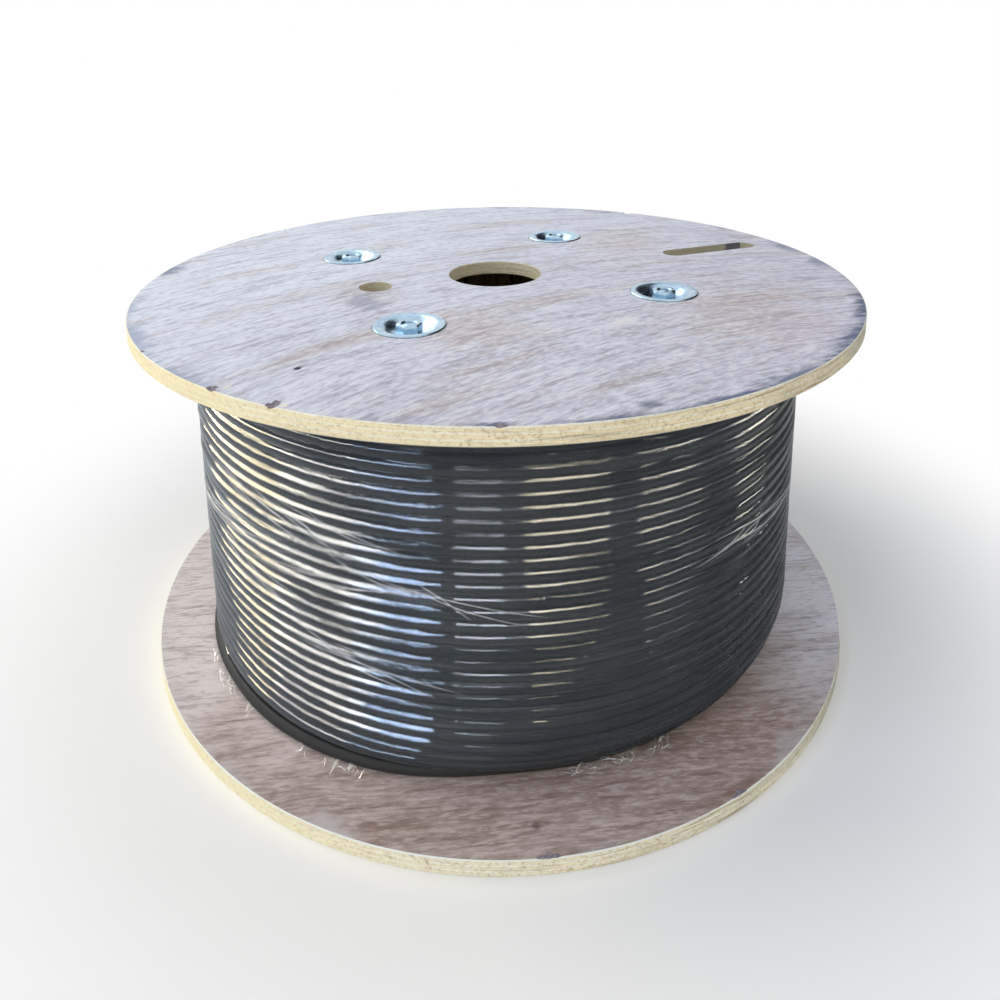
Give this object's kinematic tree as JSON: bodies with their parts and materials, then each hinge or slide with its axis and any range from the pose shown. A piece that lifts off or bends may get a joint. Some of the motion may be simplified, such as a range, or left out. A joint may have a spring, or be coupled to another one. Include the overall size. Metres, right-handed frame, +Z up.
{
  "type": "wooden cable drum",
  "caption": "Plywood cable drum standing on its end, wound full of round black cable under clear stretch film, with axle bore, drive holes, cable slot and bolted dished washers.",
  "frame": {"origin": "centre of the lower flange's outer face, on the drum axis, at floor level", "axes": "+Z up the drum axis, +X along the radial slot in the upper flange"},
  "size_m": [0.5999, 0.6, 0.2942],
  "materials": {
    "plywood": "weathered bare birch-coloured plywood, rough sawn edge",
    "stave_wood": "rough sawn softwood",
    "cable_sheath": "smooth black cable sheath",
    "stretch_film": "clear glossy stretch film with wrinkles",
    "zinc_steel": "bright zinc plated pressed steel"
  },
  "bodies": {
    "root": {"upper_flange": "plywood", "lower_flange": "plywood", "cable_winding": "cable_sheath", "film_wrap": "stretch_film", "barrel_stave_1": "stave_wood", "barrel_stave_2": "stave_wood", "barrel_stave_3": "stave_wood", "barrel_stave_4": "stave_wood", "barrel_stave_5": "stave_wood", "barrel_stave_6": "stave_wood", "barrel_stave_7": "stave_wood", "barrel_stave_8": "stave_wood", "barrel_stave_9": "stave_wood", "barrel_stave_10": "stave_wood", "barrel_stave_11": "stave_wood", "barrel_stave_12": "stave_wood", "barrel_stave_13": "stave_wood", "barrel_stave_14": "stave_wood", "barrel_stave_15": "stave_wood", "barrel_stave_16": "stave_wood", "barrel_stave_17": "stave_wood", "barrel_stave_18": "stave_wood", "barrel_stave_19": "stave_wood", "barrel_stave_20": "stave_wood", "tie_bolt_1": "zinc_steel", "tie_bolt_2": "zinc_steel", "tie_bolt_3": "zinc_steel", "tie_bolt_4": "zinc_steel", "tie_nut_1": "zinc_steel", "tie_nut_2": "zinc_steel", "tie_nut_3": "zinc_steel", "tie_nut_4": "zinc_steel", "upper_washer_1": "zinc_steel", "upper_washer_2": "zinc_steel", "upper_washer_3": "zinc_steel", "upper_washer_4": "zinc_steel", "lower_washer_1": "zinc_steel", "lower_washer_2": "zinc_steel", "lower_washer_3": "zinc_steel", "lower_washer_4": "zinc_steel"}
  },
  "joints": []
}
